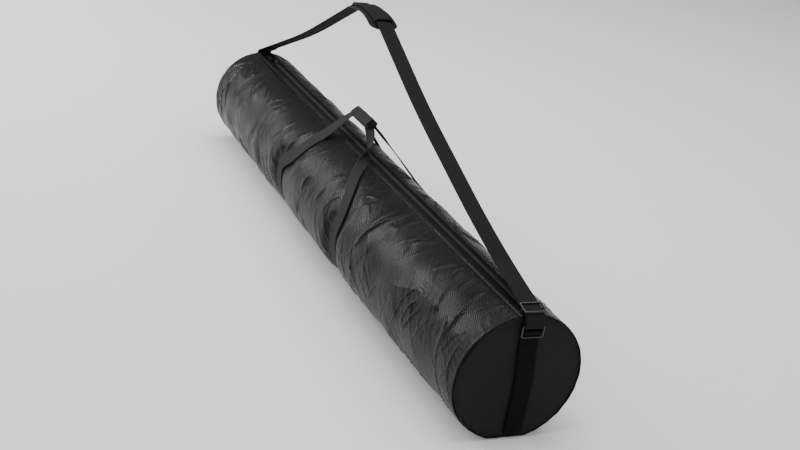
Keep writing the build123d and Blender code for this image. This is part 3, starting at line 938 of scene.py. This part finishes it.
def build_tab(end, name):
    """Webbing up the disc, round the ring's middle bar, with three rows of stitching under the ring."""
    back = HALF + 0.0003 + PLY / 2
    front = back + PLY + 0.00015
    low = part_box("front_end_tab")[0].z
    points = [
        (front, low),
        (front, RING_MID - 0.0085),
        (STRAP_FACE, RING_MID - 0.0012),
        (STRAP_FACE, RING_MID + TURN),
        (back, RING_MID + TURN),
        (back, RING_MID - 0.034),
    ]
    line = fillet_path(points, [0.002, 0.0012, 0.0015, 0.0022], 0.0010)
    sway = end * TAB_SWAY * ease((RING_MID - 0.012 - line[:, 1]) / 0.085)
    centres = np.stack([end * line[:, 0], sway, line[:, 1]], 1)
    tab = ribbon(f"{name}_tab_webbing", centres, ACROSS, TAB_WEB)
    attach(tab, "bag")
    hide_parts(f"{name}_end_tab")
    y = np.linspace(-WEBBING / 2 + 0.002, WEBBING / 2 - 0.002, 20)
    for row, drop in enumerate(TAB_SEAMS):
        centres = np.stack([0 * y + end * (front + PLY / 2), y, 0 * y + RING_MID - drop], 1)
        stitches(f"{name}_tab_stitching_{row}", centres, (end, 0, 0), "bag", radius=0.0004)


build_tab(1, "front")
build_tab(-1, "rear")


# ---- shoulder pad
def pad_point(along, y, lift):
    """A point on the pad: how far along it towards the front, across it, and above the strap's line."""
    angle = PAD_ANGLE - along / PAD_BEND
    r = PAD_BEND + lift
    x, z = PAD_CENTRE.x + r * np.cos(angle), PAD_CENTRE.y + r * np.sin(angle)
    return np.stack([x, y + 0 * angle, z], -1)


PAD_TONGUE = 0.014
PAD_FORWARD = 0.0070  # the pad sits that much towards the front
PAD_LIFT = -0.0057  # its middle against the strap's line
QUILT_PITCH = 0.0115
COVER_SEWN = 0.0174  # half width to the cover's seams
COVER_BOW = 0.0030  # how far the mouths bow inwards


def build_pad():
    """The padded base with its tongues and binding, and the cover over the strap, open at both ends."""
    pad_low, pad_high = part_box("pad_base")
    half_width = (pad_high.y - pad_low.y) / 2 + 0.0030
    half_length = PAD_LENGTH / 2 - 0.003
    rows, columns = 96, 30
    along = half_length * np.sin(np.linspace(-math.pi / 2, math.pi / 2, rows))
    tongue = clamp((np.abs(along) - half_length + PAD_TONGUE) / PAD_TONGUE)
    spans = half_width * np.sqrt(1 - (0.88 * tongue) ** 2) * (1 - 0.05 * (1 - (along / half_length) ** 2))
    turn = around(columns)
    c, s = np.cos(turn), np.sin(turn)
    across = squarish(c, 0.6)
    lift = squarish(s, 0.75)
    thick = 0.0040 * (0.45 + 0.55 * np.sqrt(1 - tongue ** 2))
    y = spans[:, None] * across[None]
    edge = np.clip(1 - np.abs(across) ** 5, 0.28, 1)[None]
    quilt = 0.0006 * np.cos(along / QUILT_PITCH * math.pi)[:, None] * (lift < 0)[None]
    h = PAD_LIFT + thick[:, None] * lift[None] * edge + quilt
    a = along[:, None] + PAD_FORWARD + 0 * h
    points = pad_point(a, y, h)
    uvs = np.stack([a, y + (lift < 0)[None] * OTHER_FACE], -1)
    faces = grid_faces(rows, columns, closed=True) + end_caps(rows, columns)
    base = make_object("pad_cushion", points, faces, PAD_CLOTH, uvs)
    sub = base.modifiers.new("smooth", "SUBSURF")
    sub.levels = sub.render_levels = 1
    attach(base, "shoulder_strap")
    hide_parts("pad_base", "pad_foam")

    outline = np.concatenate([
        np.stack([along, spans], 1), np.stack([along[::-1], -spans[::-1]], 1),
    ])
    outline = resample(np.vstack([outline, outline[:1]]), 0.002)[:-1]
    bead_lift = np.full(len(outline), PAD_LIFT + 0.0006)
    bead = pad_point(outline[:, 0] + PAD_FORWARD, outline[:, 1] * 1.01, bead_lift)
    binding = bead_loop("pad_binding", bead, 0.0012, BINDING, sides=8)
    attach(binding, "shoulder_strap")

    # The cover is sewn down both sides and bridges the strap.
    cover_half = half_length - 0.0125
    along = np.linspace(-cover_half, cover_half, 70)
    s = np.linspace(-1, 1, 25)
    mouth = 0.0026 * clamp((np.abs(along) - cover_half + PAD_TONGUE) / PAD_TONGUE) ** 2
    bridge = ease((1 - np.abs(s)) / 0.14)
    h = -0.0020 + (0.0042 + mouth[:, None]) * bridge[None]
    h = h + 0.00018 * np.sin(along / 0.0065)[:, None] * bridge[None]
    mouths = np.sign(along) * (np.abs(along) / cover_half) ** 6
    a = along[:, None] + PAD_FORWARD - COVER_BOW * (1 - s ** 2)[None] * mouths[:, None]
    y = COVER_SEWN * s[None] + 0 * a
    points = pad_point(a, y, h)
    uvs = np.stack([a, y], -1)
    cover = sheet("pad_strap_cover", points, PAD_CLOTH, uvs)
    thicken(cover, "cloth", 0.0012, offset=1)
    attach(cover, "shoulder_strap")
    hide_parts("pad_cover")
    for side, name in ((-1, "right"), (1, "left")):
        a = PAD_FORWARD + np.linspace(-cover_half + 0.002, cover_half - 0.002, 60)
        centres = pad_point(a, np.full_like(a, side * (COVER_SEWN - 0.0012)), np.full_like(a, -0.0004))
        normals = unit(pad_point(a, 0 * a, 0 * a + 0.01) - pad_point(a, 0 * a, 0 * a))
        stitches(f"pad_cover_stitching_{name}", centres, normals, "shoulder_strap")
    y = np.linspace(-COVER_SEWN + 0.002, COVER_SEWN - 0.002, 20)
    for end, name in ((-1, "rear"), (1, "front")):
        bow = COVER_BOW * (1 - (y / COVER_SEWN) ** 2)
        a = PAD_FORWARD + end * (cover_half - 0.0045 - bow)
        centres = pad_point(a, y, np.full_like(y, 0.0040))
        normals = unit(pad_point(a, y, 0 * a + 0.01) - pad_point(a, y, 0 * a))
        stitches(f"pad_cover_hem_{name}", centres, normals, "shoulder_strap", radius=0.0003)


build_pad()


# ---- belly bands and carry handles
def build_belly_band(name):
    """The handles' webbing carried on round the belly."""
    low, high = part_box(f"{name}_belly_band")
    middle = (low.x + high.x) / 2
    stop = math.acos((high.z - AXIS_Z) / (RADIUS + PLY))
    angle = np.linspace(stop, math.tau - stop, 150)
    y, z = section_point(angle, -0.0009)
    centres = np.stack([np.full_like(y, middle), y, np.maximum(z, 0.0009)], 1)
    band = ribbon(f"{name}_belly_webbing", centres, ALONG, WEB)
    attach(band, "bag")
    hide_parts(f"{name}_belly_band")


build_belly_band("front")
build_belly_band("rear")


LEG_GAP = 0.0006  # between a leg and the bag


def build_leg(side, end_name):
    """One handle leg: flat on the bag at its foot, then lifting, twisting and narrowing to the grip."""
    foot_x, grip_x = leg_ends(end_name)
    lean = 1 if foot_x > 0 else -1
    ground, air, twist, widths = LEG_ROUTES[side, end_name]
    points = []
    for degrees, share in ground:
        y, z = section_point(np.array(math.radians(degrees)), -LEG_GAP - PLY / 2)
        points.append((grip_x + share * (foot_x - grip_x), side * float(y), float(z)))
    for share, y, height in air:
        points.append((grip_x + share * (foot_x - grip_x), side * y, AXIS_Z + height))
    extra = np.stack([np.radians(twist), np.array(widths) / 1000], 1)
    line = smooth_path(np.hstack([points, extra]), 0.0016)
    centres, turn, width = line[:, :3], line[:, 3], line[:, 4]
    centres = keep_off_bag(centres, LEG_GAP + PLY / 2 + np.abs(np.sin(turn)) * width / 2)
    radial = centres - np.array([0, 0, AXIS_Z])
    radial[:, 0] = 0
    radial = unit(radial)
    forward = unit(np.gradient(centres, axis=0))
    flat = unit(np.cross(forward, radial))
    normal = np.cross(flat, forward)
    across = flat * np.cos(turn)[:, None] + normal * np.sin(turn)[:, None] * lean * side
    name = f"{'left' if side > 0 else 'right'}_handle_{end_name}"
    leg = ribbon(f"{name}_webbing", centres, across, WEB, width=width)
    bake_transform(leg)
    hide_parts(f"{name}_leg")


def keep_off_bag(centres, clear):
    """The line pushed out, where it would cut the bag, to lie that far clear of it."""
    y, z = centres[:, 1], centres[:, 2] - AXIS_Z
    r = np.hypot(y, z)
    push = np.maximum(r, RADIUS + clear) / r
    return np.stack([centres[:, 0], y * push, AXIS_Z + z * push], 1)


for side in (-1, 1):
    for end_name in ("front", "rear"):
        build_leg(side, end_name)


def grip_axes():
    """The grip's own directions, read from the hook strip that lies on it: across, and outward."""
    hooks_low, hooks_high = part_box("hook_strip")
    middle = (hooks_low + hooks_high) / 2
    outward = Vector((0, middle.y - GRIP_MID.y, middle.z - GRIP_MID.z)).normalized()
    return np.array((0, outward.z, -outward.y)), np.array(outward)


GRIP_ACROSS, GRIP_OUT = grip_axes()
WRAP_HALF_WIDTH, WRAP_HALF_HEIGHT = 0.0110, 0.0050
WRAP_CLOTH_THICK = 0.0013
FLAP_HALF = 0.0085


def on_grip(x, across, outward, middle):
    """Points at x, that far across and outward of the middle, in the grip's own directions."""
    points = across[..., None] * GRIP_ACROSS + outward[..., None] * GRIP_OUT
    points[..., 0] = x[:, None]
    points[..., 1:] += np.array(middle)[1:]
    return points


def build_grip():
    """The cloth wrap round both handles, and the flap that closes it."""
    rows, columns = 60, 40
    x = np.linspace(GRIP_LOW.x, GRIP_HIGH.x, rows)
    turn = around(columns)
    c, s = np.cos(turn), np.sin(turn)
    v = squarish(c, 0.5)
    w = squarish(s, 0.6)
    soft = 1 - 0.05 * np.abs((x - GRIP_MID.x) / (GRIP_HIGH.x - GRIP_MID.x)) ** 4
    dimple = 0.00025 * np.sin(x / 0.0042)[:, None] * np.sin(turn * 3)[None]
    y = (WRAP_HALF_WIDTH * soft[:, None] + dimple) * v[None]
    h = (WRAP_HALF_HEIGHT * soft[:, None] + dimple) * w[None]
    points = on_grip(x, y, h, GRIP_MID)
    uvs = np.stack([x[:, None] + 0 * y, turn[None] * 0.008 + 0 * y], -1)
    wrap = sheet("grip_cloth_wrap", points, WRAP_CLOTH, uvs, closed=True)
    thicken(wrap, "cloth", WRAP_CLOTH_THICK)
    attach(wrap, "grip")
    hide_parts("grip_wrap")

    flap_low, flap_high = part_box("grip_flap")
    flap_mid = np.array((flap_low + flap_high) / 2)
    x = np.linspace(flap_low.x, flap_high.x, 56)
    s = np.linspace(-1, 1, 21)
    lift = 0.0002 * np.sin(x / 0.005)[:, None] * s[None] - 0.0009 * (s ** 8)[None]
    ends = clamp((np.abs(x - GRIP_MID.x) - 0.037) / 0.003)[:, None]
    lift = lift - 0.0004 * ends
    y = FLAP_HALF * s[None] * (1 - 0.06 * ends)
    points = on_grip(x, y, lift + 0.0007, flap_mid)
    uvs = np.stack([x[:, None] + 0 * y, y], -1)
    flap = sheet("grip_flap_cloth", points, WRAP_CLOTH, uvs)
    turn_faces_out(flap)
    thicken(flap, "cloth", WRAP_CLOTH_THICK, offset=0)
    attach(flap, "grip_flap")
    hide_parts("grip_flap")
    for side in (-1, 1):
        centres = np.zeros((50, 3)) + flap_mid
        centres[:, 0] = np.linspace(flap_low.x + 0.003, flap_high.x - 0.003, 50)
        centres += GRIP_ACROSS * side * (FLAP_HALF - 0.0016) + GRIP_OUT * 0.0012
        stitches(f"grip_flap_stitching_{side + 1}", centres, GRIP_OUT, "grip_flap", radius=0.0003)


build_grip()


# ---- CAD nodes that stay get their finish
FINISHES = {
    "lining": INSIDE, "front_end_board": FOAM, "rear_end_board": FOAM,
    "right_zip_tape": TAPE, "left_zip_tape": TAPE, "zip_end_stops": METAL, "front_ring": METAL,
    "rear_ring": METAL, "tri_glide": METAL, "zip_slider": METAL, "zip_pull": METAL,
    "hook_strip": HOOKS, "loop_strip": HOOKS,
    "right_handle_top": FOLDED_WEB, "left_handle_top": FOLDED_WEB,
}
for node_name, node_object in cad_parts.items():
    node_object.data.materials.clear()
    node_object.data.materials.append(FINISHES.get(node_name, INSIDE))
